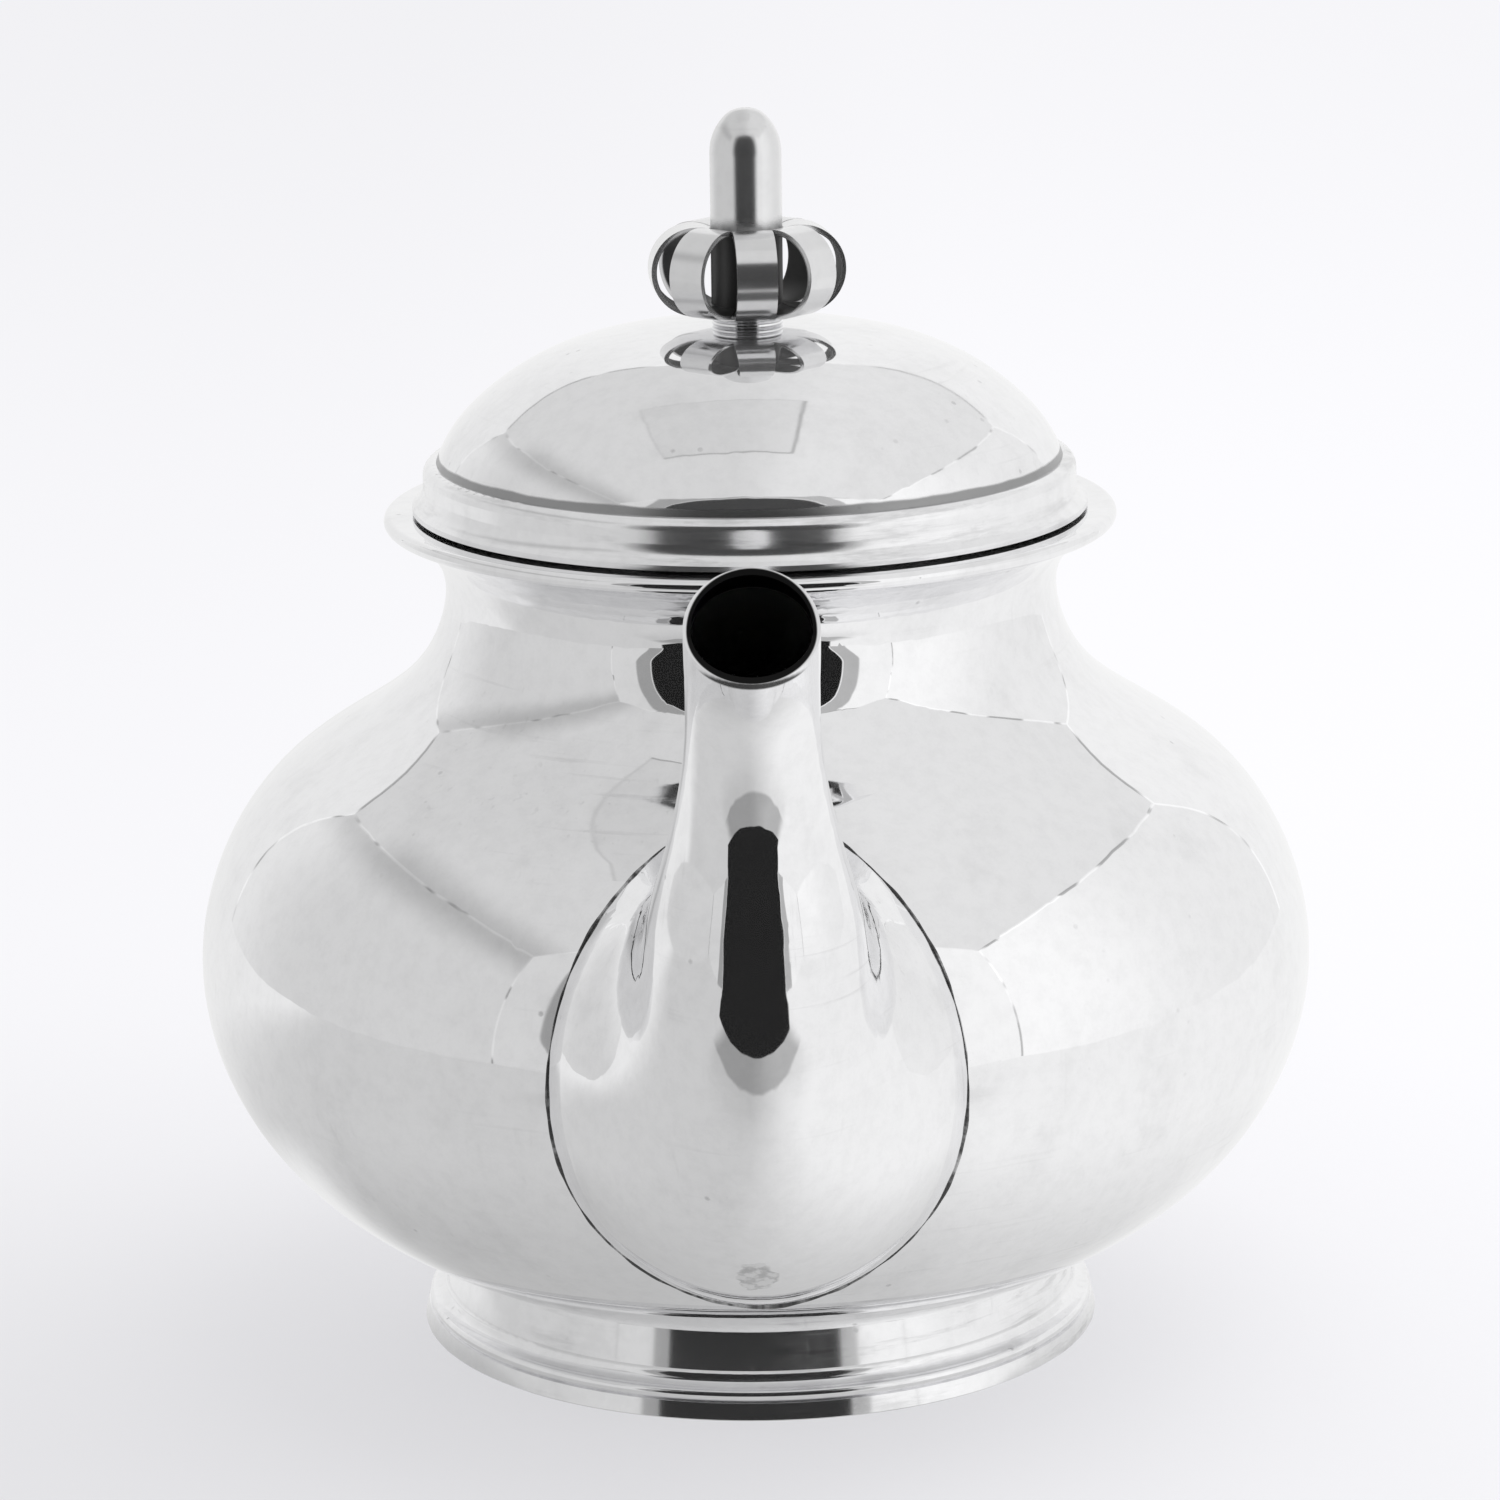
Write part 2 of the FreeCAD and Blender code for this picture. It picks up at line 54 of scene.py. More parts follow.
class Wire:
    """A socket of a shader's node tree, so that values can be written as a formula."""

    def __init__(self, tree, socket=None):
        self.tree = tree
        self.socket = socket

    def node(self, kind, settings=None, inputs=None, output=0):
        """Adds a node with its settings and inputs, and returns one of its outputs."""
        made = self.tree.nodes.new(kind)
        for name, value in (settings or {}).items():
            setattr(made, name, value)
        for name, value in (inputs or {}).items():
            if isinstance(value, Wire):
                self.tree.links.new(value.socket, made.inputs[name])
            else:
                made.inputs[name].default_value = value
        return Wire(self.tree, made.outputs[output])

    def maths(self, operation, *others):
        """A Math node with this value as its first input."""
        return self.node("ShaderNodeMath", {"operation": operation}, dict(enumerate((self,) + others)))

    def back(self, operation, other):
        """A Math node with this value as its second input."""
        return self.node("ShaderNodeMath", {"operation": operation}, {0: other, 1: self})

    def __add__(self, other):
        return self.maths("ADD", other)

    def __radd__(self, other):
        return self.back("ADD", other)

    def __sub__(self, other):
        return self.maths("SUBTRACT", other)

    def __rsub__(self, other):
        return self.back("SUBTRACT", other)

    def __mul__(self, other):
        return self.maths("MULTIPLY", other)

    def __rmul__(self, other):
        return self.back("MULTIPLY", other)

    def __truediv__(self, other):
        return self.maths("DIVIDE", other)

    def __rtruediv__(self, other):
        return self.back("DIVIDE", other)

    def fade(self, low, high):
        """Rises smoothly from 0 at low to 1 at high."""
        values = {"Value": self, "From Min": low, "From Max": high}
        return self.node("ShaderNodeMapRange", {"interpolation_type": "SMOOTHSTEP"}, values)

    def between(self, low, high, soft):
        """1 between two limits, falling to 0 over a soft edge inside each."""
        return self.fade(low, low + soft) * (1.0 - self.fade(high - soft, high))

    def tint(self, first, second):
        """Colour that goes from first to second as this value goes from 0 to 1."""
        return self.node("ShaderNodeMix", {"data_type": "RGBA"}, {0: self, 6: first, 7: second}, 2)

    def stretched(self, x, y, z):
        """This vector with each of its parts multiplied."""
        return self.node("ShaderNodeVectorMath", {"operation": "MULTIPLY"}, {0: self, 1: (x, y, z)})

    def moved(self, way):
        return self.node("ShaderNodeVectorMath", {"operation": "ADD"}, {0: self, 1: way})

    def crossed(self, way):
        return self.node("ShaderNodeVectorMath", {"operation": "CROSS_PRODUCT"}, {0: self, 1: way})

    def dotted(self, way):
        return self.node("ShaderNodeVectorMath", {"operation": "DOT_PRODUCT"}, {0: self, 1: way}, "Value")

    def length(self):
        return self.node("ShaderNodeVectorMath", {"operation": "LENGTH"}, {0: self}, "Value")

    def scaled(self, factor):
        return self.node("ShaderNodeVectorMath", {"operation": "SCALE"}, {0: self, "Scale": factor})

    def unit(self):
        return self.node("ShaderNodeVectorMath", {"operation": "NORMALIZE"}, {0: self})

    def blend(self, first, second):
        """Vector that goes from first to second as this value goes from 0 to 1."""
        return self.node("ShaderNodeMix", {"data_type": "VECTOR"}, {0: self, 4: first, 5: second}, 1)

    def part(self, axis):
        """One part of this vector."""
        return self.node("ShaderNodeSeparateXYZ", None, {0: self}, axis)

    def noise(self, scale, detail=2.0, roughness=0.5):
        values = {"Vector": self, "Scale": scale, "Detail": detail, "Roughness": roughness}
        return self.node("ShaderNodeTexNoise", None, values)

    def cells(self, scale):
        """Distance to the nearest of scattered points."""
        return self.node("ShaderNodeTexVoronoi", None, {"Vector": self, "Scale": scale})


def colour(value):
    return (value[0], value[1], value[2], 1.0)


def new_material(name, kind="ShaderNodeBsdfPrincipled"):
    """Material with one shader, that shader, and a wire to reckon with."""
    material = bpy.data.materials.new(name)
    material.use_nodes = True
    tree = material.node_tree
    tree.nodes.clear()
    shader = tree.nodes.new(kind)
    output = tree.nodes.new("ShaderNodeOutputMaterial")
    tree.links.new(shader.outputs[0], output.inputs["Surface"])
    return material, shader, Wire(tree)


def plug(shader, name, wire):
    wire.tree.links.new(wire.socket, shader.inputs[name])


def place_in_object(wire):
    return wire.node("ShaderNodeTexCoord", None, None, "Object")


class SilverSettings(bpy.types.PropertyGroup):
    """Colours, roughness and marks of the metal"""
    metal: bpy.props.FloatVectorProperty(
        name="Silver", description="Colour of the clean metal", subtype="COLOR", size=3,
        min=0, max=1, default=(0.918, 0.918, 0.926))
    tarnish: bpy.props.FloatVectorProperty(
        name="Tarnish", description="Colour of the specks and clouds of tarnish", subtype="COLOR", size=3,
        min=0, max=1, default=(0.52, 0.52, 0.525))
    # Colour of the painted shade in the lid's crease, inside the finial's straps and low on its post
    shade_and_wear: bpy.props.FloatVectorProperty(
        name="Grime", description="Colour of the metal in recesses that no polishing cloth reaches",
        subtype="COLOR", size=3, min=0, max=1, default=(0.115, 0.115, 0.115))
    # Colour of the painted shade on the rim inside the spout's mouth, which also darkens the worn patch
    spout_shade_and_wear_colour: bpy.props.FloatVectorProperty(
        name="Soot", description="Colour of the blackened metal inside the spout's mouth",
        subtype="COLOR", size=3, min=0, max=1, default=(0.012, 0.012, 0.012))
    finial: bpy.props.FloatVectorProperty(
        name="Finial", description="Colour of the duller metal of the finial", subtype="COLOR", size=3,
        min=0, max=1, default=(0.80, 0.80, 0.805))
    solder: bpy.props.FloatVectorProperty(
        name="Solder", description="Colour of the dark solder line round the spout", subtype="COLOR", size=3,
        min=0, max=1, default=(0.10, 0.10, 0.10))
    polish: bpy.props.FloatProperty(
        name="Polish roughness", description="Roughness of the clean metal", subtype="FACTOR",
        default=0.018, min=0, max=1)
    finial_polish: bpy.props.FloatProperty(
        name="Finial roughness", description="Roughness of the duller metal of the finial", subtype="FACTOR",
        default=0.17, min=0, max=1)
    dome_polish: bpy.props.FloatProperty(
        name="Dome roughness", description="Roughness of the lid's dome", subtype="FACTOR",
        default=0.045, min=0, max=1)
    brushed: bpy.props.FloatProperty(
        name="Brushed roughness", description="Roughness of the lid's moulding", subtype="FACTOR",
        default=0.17, min=0, max=1)
    satin: bpy.props.FloatProperty(
        name="Satin roughness", description="Roughness of the foot", subtype="FACTOR",
        default=0.09, min=0, max=1)
    wear: bpy.props.FloatProperty(
        name="Wear", description="How strongly scratches and dulled clouds show", default=1.0, min=0, max=3)
    smear: bpy.props.FloatProperty(
        name="Smears", description="How strongly smears of tarnish show on foot and moulding",
        subtype="FACTOR", default=0.45, min=0, max=1)
    speck_spacing: bpy.props.FloatProperty(
        name="Speck spacing", description="Distance between specks of tarnish", subtype="DISTANCE",
        default=0.0045, min=0.0005)
    haze: bpy.props.FloatProperty(
        name="Haze", description="Share of light that a film of tarnish scatters", subtype="FACTOR",
        default=0.012, min=0, max=1)
    foot_haze: bpy.props.FloatProperty(
        name="Foot haze", description="Share of light that tarnish scatters on the foot", subtype="FACTOR",
        default=0.03, min=0, max=1)
    lid_haze: bpy.props.FloatProperty(
        name="Lid haze", description="Share of light that tarnish scatters on lid and finial",
        subtype="FACTOR", default=0.065, min=0, max=1)
    # Place, lean and radius of the painted shade on the rim inside the spout's mouth
    mouth_place: bpy.props.FloatVectorProperty(
        name="Mouth", description="Middle of the spout's mouth", subtype="TRANSLATION", size=3, unit="LENGTH",
        default=(0.0, -0.1074, 0.1200))
    mouth_lean: bpy.props.FloatProperty(
        name="Mouth lean", description="How far the spout's mouth points up", subtype="ANGLE",
        default=math.radians(47.2))
    mouth_radius: bpy.props.FloatProperty(
        name="Mouth radius", description="Radius inside which the spout's rim is dark", subtype="DISTANCE",
        default=0.0075, min=0)
    patch_height: bpy.props.FloatProperty(
        name="Patch height", description="Height of the worn patch over the spout's lowest point",
        subtype="DISTANCE", default=0.0134)
    # Height of the band of painted shade at the foot of the lid's dome
    crease_height: bpy.props.FloatProperty(
        name="Crease height", description="Height of the dull grey band at the foot of the lid's dome",
        subtype="DISTANCE", default=0.0009, min=0)
    solder_radius: bpy.props.FloatProperty(
        name="Solder radius", description="Half the thickness of the solder line", subtype="DISTANCE",
        default=0.00024, min=0.00005)


class WoodSettings(bpy.types.PropertyGroup):
    """Colours and roughness of the grip's wood"""
    dark: bpy.props.FloatVectorProperty(
        name="Dark grain", description="Colour of the wood's dark grain", subtype="COLOR", size=3,
        min=0, max=1, default=(0.018, 0.010, 0.007))
    light: bpy.props.FloatVectorProperty(
        name="Light grain", description="Colour of the wood between the grain", subtype="COLOR", size=3,
        min=0, max=1, default=(0.075, 0.038, 0.022))
    roughness: bpy.props.FloatProperty(
        name="Roughness", description="Roughness of the oiled wood", subtype="FACTOR",
        default=0.38, min=0, max=1)


class StageSettings(bpy.types.PropertyGroup):
    """Camera, floor, light and the tent that the metal mirrors"""
    camera_place: bpy.props.FloatVectorProperty(
        name="Camera", description="Place of the camera", subtype="TRANSLATION", size=3, unit="LENGTH",
        default=(0.0, -0.7206, 0.2575))
    camera_pitch: bpy.props.FloatProperty(
        name="Pitch", description="How far the camera looks down", subtype="ANGLE",
        default=math.radians(13.94))
    camera_yaw: bpy.props.FloatProperty(
        name="Yaw", description="Turn of the camera about the upright", subtype="ANGLE",
        default=math.radians(0.035))
    camera_roll: bpy.props.FloatProperty(
        name="Roll", description="Turn of the camera about its own axis", subtype="ANGLE",
        default=math.radians(-0.770))
    lens: bpy.props.FloatProperty(
        name="Lens", description="Focal length on a sensor 36 mm wide", unit="CAMERA", default=132.0, min=10)
    floor: bpy.props.FloatVectorProperty(
        name="Floor", description="Colour of the floor", subtype="COLOR", size=3, min=0, max=1,
        default=(0.975, 0.972, 1.0))
    # Painted shade in the floor's colour: darker at the left and in front of the pot
    floor_near_left: bpy.props.FloatProperty(
        name="Floor, near left", description="Brightness of the floor in front of the pot, at the left",
        default=0.81, min=0)
    floor_near_right: bpy.props.FloatProperty(
        name="Floor, near right", description="Brightness of the floor in front of the pot, at the right",
        default=0.97, min=0)
    floor_far_left: bpy.props.FloatProperty(
        name="Floor, far left", description="Brightness of the floor behind the pot, at the left",
        default=0.96, min=0)
    floor_far_right: bpy.props.FloatProperty(
        name="Floor, far right", description="Brightness of the floor behind the pot, at the right",
        default=1.01, min=0)
    floor_glow: bpy.props.FloatProperty(
        name="Floor evenness", description="Share of the floor's brightness that no shadow changes",
        subtype="FACTOR", default=0.6, min=0, max=1)
    floor_reach: bpy.props.FloatProperty(
        name="Floor reach", description="Half the width of the floor", subtype="DISTANCE", default=6.0, min=1)
    sky: bpy.props.FloatProperty(
        name="Sky", description="Strength of the even light all round", default=0.85, min=0)
    lamp: bpy.props.FloatProperty(
        name="Lamp", description="Power of the soft lamp overhead", unit="POWER", default=2.5, min=0)
    lamp_size: bpy.props.FloatProperty(
        name="Lamp size", description="Width of the soft lamp overhead", subtype="DISTANCE", default=0.9)
    lamp_place: bpy.props.FloatVectorProperty(
        name="Lamp place", description="Place of the soft lamp overhead", subtype="TRANSLATION", size=3,
        unit="LENGTH", default=(0.25, 0.15, 1.0))
    tent_half_width: bpy.props.FloatProperty(
        name="Tent half width", description="Distance of the tent's side walls", subtype="DISTANCE",
        default=0.62)
    tent_front: bpy.props.FloatProperty(
        name="Tent front", description="Distance of the tent's front wall", subtype="DISTANCE", default=0.50)
    tent_back: bpy.props.FloatProperty(
        name="Tent back", description="Distance of the tent's back wall", subtype="DISTANCE", default=0.62)
    tent_height: bpy.props.FloatProperty(
        name="Tent height", description="Height of the tent's roof", subtype="DISTANCE", default=0.60)
    wall_left: bpy.props.FloatProperty(
        name="Left wall", description="Brightness of the tent's left wall", default=0.68, min=0)
    wall_right: bpy.props.FloatProperty(
        name="Right wall", description="Brightness of the tent's right wall", default=0.90, min=0)
    wall_back: bpy.props.FloatProperty(
        name="Back wall", description="Brightness of the tent's back wall", default=0.86, min=0)
    roof_left: bpy.props.FloatProperty(
        name="Roof, left", description="Brightness of the tent's roof at its left", default=0.70, min=0)
    roof_right: bpy.props.FloatProperty(
        name="Roof, right", description="Brightness of the tent's roof at its right", default=0.83, min=0)
    front_left: bpy.props.FloatProperty(
        name="Front, left", description="Brightness of the tent's front, left of its opening",
        default=0.70, min=0)
    front_right: bpy.props.FloatProperty(
        name="Front, right", description="Brightness of the tent's front, right of its opening",
        default=1.0, min=0)
    opening_middle: bpy.props.FloatProperty(
        name="Opening middle", description="Middle of the dark opening, across", subtype="DISTANCE",
        default=-0.025)
    opening_half_width: bpy.props.FloatProperty(
        name="Opening half width", description="Half the width of the dark opening in the tent's front",
        subtype="DISTANCE", default=0.30, min=0.01)
    opening_spring: bpy.props.FloatProperty(
        name="Opening spring", description="Height at which the opening's arch starts", subtype="DISTANCE",
        default=0.10)
    opening_rise: bpy.props.FloatProperty(
        name="Opening rise", description="Height of the opening's arch", subtype="DISTANCE", default=0.48)
    cloth_left: bpy.props.FloatProperty(
        name="Cloth, left", description="Brightness of the mirrored cloth at its left", default=0.64, min=0)
    cloth_right: bpy.props.FloatProperty(
        name="Cloth, right", description="Brightness of the mirrored cloth at its right", default=0.95, min=0)
    cloth_behind: bpy.props.FloatProperty(
        name="Cloth, behind", description="Brightness of the mirrored cloth at its left, behind the pot",
        default=0.87, min=0)
    cloth_end: bpy.props.FloatProperty(
        name="Cloth end", description="Distance in front of the pot at which the white cloth ends",
        subtype="DISTANCE", default=0.29)


def crease_shade(place):
    """Painted shade: grey band in the crease at the foot of the lid's dome, with a ragged upper edge."""
    ragged = 0.0006
    strength = 0.72
    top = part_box("lid_dome")[0].z + bpy.context.scene.teapot_silver.crease_height - ragged / 2
    above = place.part(Z) - place.noise(scale=120.0, detail=3.0) * ragged - top
    return (1.0 - above.fade(low=-0.0001, high=0.00025)) * strength


def loops_shade(place):
    """Painted shade on the inner side of the finial's looped straps."""
    inside, outside = 0.88, 0.95
    low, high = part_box("finial_calyx")
    radius = (high.z - low.z) / 2
    ring = high.x - radius
    out = place.stretched(1.0, 1.0, 0.0).length() - ring
    up = place.part(Z) - (high.z + low.z) / 2
    return 1.0 - (out * out + up * up).maths("SQRT").fade(radius * inside, radius * outside)


def spout_shade_and_wear(place):
    """Painted shade that blackens the rim inside the spout's mouth, and a worn patch low on its breast."""
    settings = bpy.context.scene.teapot_silver
    soft = 0.0001
    pointing = Vector((0, -math.cos(settings.mouth_lean), math.sin(settings.mouth_lean)))
    from_mouth = place.moved(-Vector(settings.mouth_place))
    aside = from_mouth.crossed(pointing).length()
    inside = 1.0 - aside.fade(settings.mouth_radius - soft, settings.mouth_radius + soft)
    # Painted shade: the rim inside the mouth is blackened
    rim = inside * from_mouth.dotted(pointing).fade(low=-0.0030, high=-0.0024)
    half_width, half_height = 0.0030, 0.0036
    middle = Vector((-0.0004, 0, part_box("spout")[0].z + settings.patch_height))
    from_patch = place.moved(-middle).stretched(1 / half_width, 0.0, 1 / half_height)
    fine_ragged, coarse_ragged = 0.5, 0.7
    grain = place.noise(scale=700.0, detail=3.0, roughness=0.6)
    reach = from_patch.length() + grain * fine_ragged + place.noise(scale=300.0) * coarse_ragged
    spotted, even = 0.30, 0.10
    patch = (1.0 - reach.fade(low=1.40, high=1.52)) * (grain.fade(low=0.40, high=0.62) * spotted + even)
    return rim + patch


def post_shade(place):
    """Painted shade on the lower part of the finial's post, between the straps."""
    ragged = 0.0030
    below_top = 0.0010
    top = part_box("finial_calyx")[1].z - below_top
    above = place.part(Z) - place.noise(scale=260.0, detail=3.0) * ragged - top
    return 1.0 - above.fade(low=-0.0020, high=0.0010)


def turned_normal(wire, place):
    """Normal of a turned piece, straight out from the pot's axis, so that mirrored lines run smoothly.
    Faces that aren't turned about the axis, such as the sides of the strainer's holes, keep their own."""
    given = wire.node("ShaderNodeTexCoord", None, None, "Normal")
    out = place.stretched(1.0, 1.0, 0.0).unit()
    level = given.stretched(1.0, 1.0, 0.0)
    outward = out.scaled(level.dotted(out))
    astray = level.moved(outward.scaled(-1.0)).length()
    true = outward.moved(given.stretched(0.0, 0.0, 1.0)).unit()
    chosen = astray.fade(low=0.12, high=0.20).blend(true, given)
    settings = {"vector_type": "NORMAL", "convert_from": "OBJECT", "convert_to": "WORLD"}
    return wire.node("ShaderNodeVectorTransform", settings, {0: chosen})


# How much each kind of wear darkens, roughens and lifts the metal
TONE = {"speck": 0.60, "dull": 0.42, "scratch": 0.26, "grain": 0.11}
ROUGHNESS = {"speck": 0.25, "dull": 0.11, "scratch": 0.08}
HEIGHT = {"speck": 0.01, "scratch": 0.012, "waves": 0.6}
RELIEF = {"Strength": 0.35, "Distance": 0.00012}

# Shares of clouds, patches, and painted shade and wear in the dullness of the metal
DULLNESS = {"cloud": 0.35, "patch": 0.25, "shade_and_wear": 3.0}


def silver_finish(name, settings, shade_and_wear_mask=None, metal="metal", shade_and_wear="shade_and_wear", polish="polish", haze="haze",
                  smears=False, turned=False):
    """Polished silver with clouds of wear, specks of tarnish and fine scratches.
    A mask takes a place and returns 1 where the metal is painted dark and dull: painted shade, and on the
    spout a worn patch.
    Metal, the dark colour, polish and haze are names of settings. Smears of tarnish run round a piece, and
    turned pieces get smoother normals."""
    material, shader, wire = new_material(name)
    place = place_in_object(wire)
    cloud = place.noise(scale=22.0, detail=5.0, roughness=0.6).fade(low=0.45, high=0.75)
    patch = place.noise(scale=90.0, detail=4.0, roughness=0.65).fade(low=0.52, high=0.72)
    grain = place.noise(scale=420.0, detail=4.0, roughness=0.7).fade(low=0.35, high=0.75)
    spotted = place.noise(scale=45.0, detail=3.0).fade(low=0.50, high=0.66)
    speck = (1.0 - place.cells(1.0 / settings.speck_spacing).fade(low=0.04, high=0.11)) * spotted
    round_lines = place.stretched(40.0, 40.0, 1400.0).noise(scale=1.0, detail=3.0).fade(low=0.60, high=0.74)
    upright_lines = place.stretched(900.0, 900.0, 30.0).noise(scale=1.0, detail=3.0).fade(low=0.62, high=0.76)
    scratch = (round_lines + upright_lines) * cloud
    dull = cloud * DULLNESS["cloud"] + patch * DULLNESS["patch"]
    tarnished = (speck * TONE["speck"] + dull * TONE["dull"] + scratch * TONE["scratch"]
                 + grain * TONE["grain"])
    if smears:
        streak = place.stretched(60.0, 60.0, 520.0).noise(scale=1.0, detail=5.0, roughness=0.65)
        smeared = place.noise(scale=30.0, detail=3.0).fade(low=0.42, high=0.60)
        tarnished = tarnished + streak.fade(low=0.50, high=0.68) * smeared * settings.smear
    tone = tarnished.tint(colour(getattr(settings, metal)), colour(settings.tarnish))
    # Painted shade, and on the spout a worn patch: the mask darkens the colour and dulls the metal
    if shade_and_wear_mask:
        dark = shade_and_wear_mask(place)
        dull = dull + dark * DULLNESS["shade_and_wear"]
        tone = dark.tint(tone, colour(getattr(settings, shade_and_wear)))
    plug(shader, "Base Color", tone)
    worn = dull * ROUGHNESS["dull"] + scratch * ROUGHNESS["scratch"]
    plug(shader, "Roughness", worn * settings.wear + speck * ROUGHNESS["speck"] + getattr(settings, polish))
    relief = dict(RELIEF)
    relief["Height"] = (place.noise(scale=16.0, detail=1.0) * HEIGHT["waves"]
                        + scratch * (HEIGHT["scratch"] * settings.wear) + speck * HEIGHT["speck"])
    if turned:
        relief["Normal"] = turned_normal(wire, place)
    plug(shader, "Normal", wire.node("ShaderNodeBump", None, relief))
    shader.inputs["Metallic"].default_value = 1.0 - getattr(settings, haze)
    return material


def solder_finish(name, settings):
    """Grey tarnished solder, brighter where it was rubbed."""
    rough, polished = 0.55, 0.25
    material, shader, wire = new_material(name)
    place = place_in_object(wire)
    rubbed = place.noise(scale=110.0, detail=5.0, roughness=0.7).fade(low=0.44, high=0.62)
    plug(shader, "Base Color", rubbed.tint(colour(settings.solder), colour(settings.tarnish)))
    plug(shader, "Roughness", rough - rubbed * (rough - polished))
    shader.inputs["Metallic"].default_value = 1.0
    return material


def wood_finish(name, settings):
    """Dark oiled hardwood with its grain along the grip."""
    pore_tone, pore_roughness, grain_roughness = 0.6, 0.2, 0.08
    material, shader, wire = new_material(name)
    place = place_in_object(wire)
    grain = place.stretched(260.0, 120.0, 26.0).noise(scale=1.0, detail=6.0, roughness=0.65)
    grain = grain.fade(low=0.35, high=0.68)
    pores = place.stretched(1500.0, 900.0, 90.0).noise(scale=1.0).fade(low=0.60, high=0.70)
    tone = grain * (1.0 - pores * pore_tone)
    plug(shader, "Base Color", tone.tint(colour(settings.dark), colour(settings.light)))
    plug(shader, "Roughness", pores * pore_roughness + grain * grain_roughness + settings.roughness)
    relief = {"Strength": 0.4, "Distance": 0.0002, "Height": 1.0 - pores}
    plug(shader, "Normal", wire.node("ShaderNodeBump", None, relief))
    return material


# What sets each silver finish apart
SILVERS = {
    "turned silver": {"turned": True},
    "plain silver": {},
    "foot silver": {"turned": True, "smears": True, "polish": "satin", "haze": "foot_haze"},
    "spout silver": {"shade_and_wear_mask": spout_shade_and_wear, "shade_and_wear": "spout_shade_and_wear_colour"},
    "dome silver": {"turned": True, "shade_and_wear_mask": crease_shade, "polish": "dome_polish", "haze": "lid_haze"},
    "moulding silver": {"turned": True, "smears": True, "polish": "brushed", "haze": "lid_haze"},
    "strap silver": {"shade_and_wear_mask": loops_shade, "metal": "finial", "polish": "finial_polish", "haze": "lid_haze"},
    "post silver": {"turned": True, "shade_and_wear_mask": post_shade, "metal": "finial", "polish": "finial_polish",
                    "haze": "lid_haze"},
}


def finish(name):
    """The finish of that name, made once."""
    made = bpy.data.materials.get(name)
    if made:
        return made
    scene = bpy.context.scene
    if name == "dark wood":
        return wood_finish(name, scene.teapot_wood)
    if name == "solder":
        return solder_finish(name, scene.teapot_silver)
    return silver_finish(name, scene.teapot_silver, **SILVERS[name])


def dress(node, name):
    """Gives a CAD node one of the finishes."""
    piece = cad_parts[node]
    piece.data.materials.clear()
    piece.data.materials.append(finish(name))


class TEAPOT_OT_bowl(bpy.types.Operator):
    """Polished bowl with its mouth ring"""
    bl_idname = "teapot.bowl"
    bl_label = "Bowl and mouth ring"

    def execute(self, context):
        dress("body_shell", "turned silver")
        dress("mouth_flange", "turned silver")
        return {"FINISHED"}


class TEAPOT_OT_foot(bpy.types.Operator):
    """Foot wall and its plinth"""
    bl_idname = "teapot.foot"
    bl_label = "Foot"

    def execute(self, context):
        dress("foot_collar", "foot silver")
        dress("foot_plinth", "foot silver")
        return {"FINISHED"}


def sharp_edges(mesh, angle):
    """A mesh's points, each once, and for each the points that an edge sharper than the angle joins to it."""
    digits = 6
    places = {}
    index = []
    for vertex in mesh.vertices:
        key = tuple(round(part, digits) for part in vertex.co)
        index.append(places.setdefault(key, len(places)))
    sides = {}
    for face in mesh.polygons:
        corners = [index[vertex] for vertex in face.vertices]
        for first, second in zip(corners, corners[1:] + corners[:1]):
            sides.setdefault(frozenset((first, second)), []).append(face.normal.copy())
    beside = {}
    for pair, normals in sides.items():
        if len(pair) == 2 and len(normals) == 2 and normals[0].angle(normals[1], 0) > angle:
            first, second = pair
            beside.setdefault(first, []).append(second)
            beside.setdefault(second, []).append(first)
    return [Vector(key) for key in places], beside


def seam_loop(mesh):
    """Points of the edge where the spout's outside meets the bowl: the widest of its sharp loops."""
    sharp = math.radians(25)
    points, beside = sharp_edges(mesh, sharp)
    loops = []
    left = set(beside)
    while left:
        here = left.pop()
        loop = [here]
        while True:
            onward = [other for other in beside[here] if other in left]
            if not onward:
                break
            here = onward[0]
            left.discard(here)
            loop.append(here)
        loops.append([points[number] for number in loop])
    return max(loops, key=lambda loop: max(point.x for point in loop) - min(point.x for point in loop))


def even_loop(points, count):
    """A closed loop's points, spread evenly along it."""
    shortest = 1e-9
    lengths = [0.0]
    for first, second in zip(points, points[1:] + points[:1]):
        lengths.append(lengths[-1] + (second - first).length)
    spread = []
    step = 0
    for number in range(count):
        goal = lengths[-1] * number / count
        while lengths[step + 1] < goal:
            step += 1
        share = (goal - lengths[step]) / max(lengths[step + 1] - lengths[step], shortest)
        spread.append(points[step].lerp(points[(step + 1) % len(points)], share))
    return spread


# Waves in the thickness of the solder line: height, number round the loop and start
SWELLS = ((0.30, 7, 1), (0.22, 19, 0), (0.12, 43, 2))
MEAN_SWELL = 0.85


